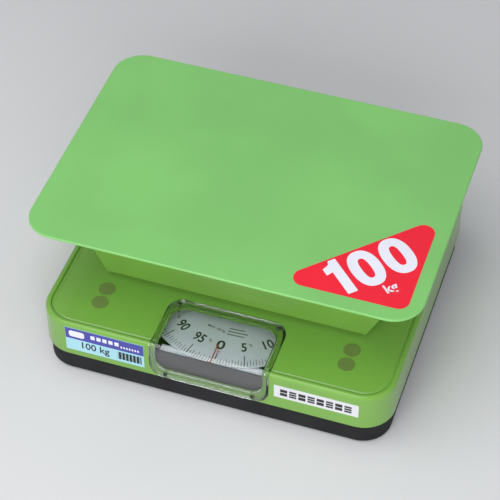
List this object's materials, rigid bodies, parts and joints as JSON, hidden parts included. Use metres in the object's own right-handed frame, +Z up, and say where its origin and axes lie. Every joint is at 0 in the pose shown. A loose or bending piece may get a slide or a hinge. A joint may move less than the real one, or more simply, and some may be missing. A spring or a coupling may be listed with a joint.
{
  "type": "mechanical dial platform scale",
  "caption": "Low lever scale with a raised square-cornered platform on a pedestal, a green body cover on a black base, and a horizontal dial under a clear window.",
  "frame": {"origin": "centre of the footprint on the floor, under the rubber feet", "axes": "+X to the right, +Y to the back, +Z up; the dial window faces -Y"},
  "size_m": [0.35, 0.286, 0.15],
  "materials": {
    "base_black": "satin black enamel on pressed steel",
    "foot_rubber": "moulded rubber",
    "zinc_steel": "zinc plated",
    "cover_green": "glossy yellow-green stove enamel",
    "platform_green": "glossy green stove enamel",
    "plug_plastic": "tinted moulded plastic",
    "window_clear": "clear moulded acrylic",
    "label_blue": "printed film label",
    "label_white": "printed film label",
    "mask_grey": "matt grey paint",
    "needle_red": "red paint",
    "lever_steel": "grey primer on pressed steel",
    "bright_steel": "hardened and ground",
    "spring_steel": "drawn wire",
    "brass": "turned brass",
    "dial_face": "painted aluminium, pale grey-green",
    "wheel_black": "knurled moulded plastic"
  },
  "bodies": {
    "base": {"base_pan": "base_black", "rubber_feet": "foot_rubber", "foot_screws": "zinc_steel", "cover_studs": "zinc_steel", "body_cover": "cover_green", "hole_plugs": "plug_plastic", "window_cover": "window_clear", "window_screws": "zinc_steel", "window_nuts": "zinc_steel", "capacity_label": "label_blue", "use_label": "label_white", "mask_plate": "mask_grey", "mask_screws": "zinc_steel", "dial_ledge": "dial_face", "needle": "needle_red", "fulcrum_stands": "lever_steel", "stand_screws": "zinc_steel", "dial_bracket": "zinc_steel", "dial_bracket_screws": "zinc_steel", "dial_bush": "brass", "footstep_bearing": "brass", "rack_guide": "zinc_steel", "rack_guide_screws": "zinc_steel", "crank_bracket": "zinc_steel", "crank_bracket_screws": "zinc_steel", "crank_pin": "bright_steel", "crank_clips": "zinc_steel", "spring_bracket": "zinc_steel", "spring_bracket_screws": "zinc_steel"},
    "platform": {"platform_plate": "platform_green", "pedestal_channel": "cover_green", "pedestal_front": "cover_green", "pedestal_back": "cover_green", "pillars": "zinc_steel", "pillar_screws": "zinc_steel", "load_bearings": "lever_steel", "bearing_screws": "zinc_steel"},
    "main_lever": {"main_lever": "lever_steel", "main_lever_knives": "bright_steel"},
    "lever_left": {"lever_left": "lever_steel", "lever_left_knives": "bright_steel"},
    "lever_right": {"lever_right": "lever_steel", "lever_right_knives": "bright_steel"},
    "shackle_left": {"shackle_left": "bright_steel"},
    "shackle_right": {"shackle_right": "bright_steel"},
    "stirrup": {"stirrup": "bright_steel"},
    "hanger": {"hanger_rod": "bright_steel", "main_spring": "spring_steel"},
    "zero_wheel": {"zero_wheel": "wheel_black"},
    "crank": {"bell_crank": "bright_steel", "crank_spring": "spring_steel"},
    "rack": {"rack": "brass"},
    "dial": {"spindle": "bright_steel", "pinion": "brass", "dial_hub": "brass", "dial_disc": "dial_face", "dial_screw": "zinc_steel"}
  },
  "joints": [
    {"name": "platform_travel", "type": "slide", "parent": "base", "child": "platform", "axis": [0, 0, -1], "range_m": [0, 0.00063]},
    {"name": "dial_spin", "type": "hinge", "parent": "base", "child": "dial", "pos_m": [0, -0.046, 0.05], "axis": [0, 0, -1], "range_deg": [0, 360], "stiffness_Nm_per_rad": 0.01565, "springref_deg": -8.59},
    {"name": "main_lever_tilt", "type": "hinge", "parent": "base", "child": "main_lever", "pos_m": [0, -0.072, 0.026], "axis": [-1, 0, 0], "range_deg": [0, 2.05]},
    {"name": "left_lever_tilt", "type": "hinge", "parent": "base", "child": "lever_left", "pos_m": [-0.104, 0.072, 0.026], "axis": [1, 0, 0], "range_deg": [0, 2.05]},
    {"name": "right_lever_tilt", "type": "hinge", "parent": "base", "child": "lever_right", "pos_m": [0.104, 0.072, 0.026], "axis": [1, 0, 0], "range_deg": [0, 2.05]},
    {"name": "left_shackle_drop", "type": "slide", "parent": "base", "child": "shackle_left", "axis": [0, 0, -1], "range_m": [0, 0.0026]},
    {"name": "right_shackle_drop", "type": "slide", "parent": "base", "child": "shackle_right", "axis": [0, 0, -1], "range_m": [0, 0.0026]},
    {"name": "stirrup_drop", "type": "slide", "parent": "base", "child": "stirrup", "axis": [0, 0, -1], "range_m": [0, 0.0072], "deforming": ["main_spring"]},
    {"name": "crank_swing", "type": "hinge", "parent": "base", "child": "crank", "pos_m": [-0.005, 0.108, 0.012], "axis": [-1, 0, 0], "range_deg": [0, 28.8]},
    {"name": "rack_slide", "type": "slide", "parent": "base", "child": "rack", "axis": [0, 1, 0], "range_m": [0, 0.0158]},
    {"name": "hanger_lift", "type": "slide", "parent": "base", "child": "hanger", "axis": [0, 0, 1], "range_m": [-0.00036, 0.00036]},
    {"name": "zero_turn", "type": "hinge", "parent": "base", "child": "zero_wheel", "pos_m": [0, 0.128, 0.0508], "axis": [0, 0, 1], "range_deg": [-162, 162]}
  ],
  "couplings": [
    {"joint": "dial_spin", "follows": "platform_travel", "rad_per_m": 9973.3},
    {"joint": "main_lever_tilt", "follows": "platform_travel", "rad_per_m": 55.556},
    {"joint": "left_lever_tilt", "follows": "platform_travel", "rad_per_m": 55.556},
    {"joint": "right_lever_tilt", "follows": "platform_travel", "rad_per_m": 55.556},
    {"joint": "left_shackle_drop", "follows": "platform_travel", "ratio": 4},
    {"joint": "right_shackle_drop", "follows": "platform_travel", "ratio": 4},
    {"joint": "stirrup_drop", "follows": "platform_travel", "ratio": 11.111},
    {"joint": "crank_swing", "follows": "platform_travel", "rad_per_m": 793.65},
    {"joint": "rack_slide", "follows": "platform_travel", "ratio": 24.933},
    {"joint": "zero_turn", "follows": "hanger_lift", "rad_per_m": 7854}
  ]
}
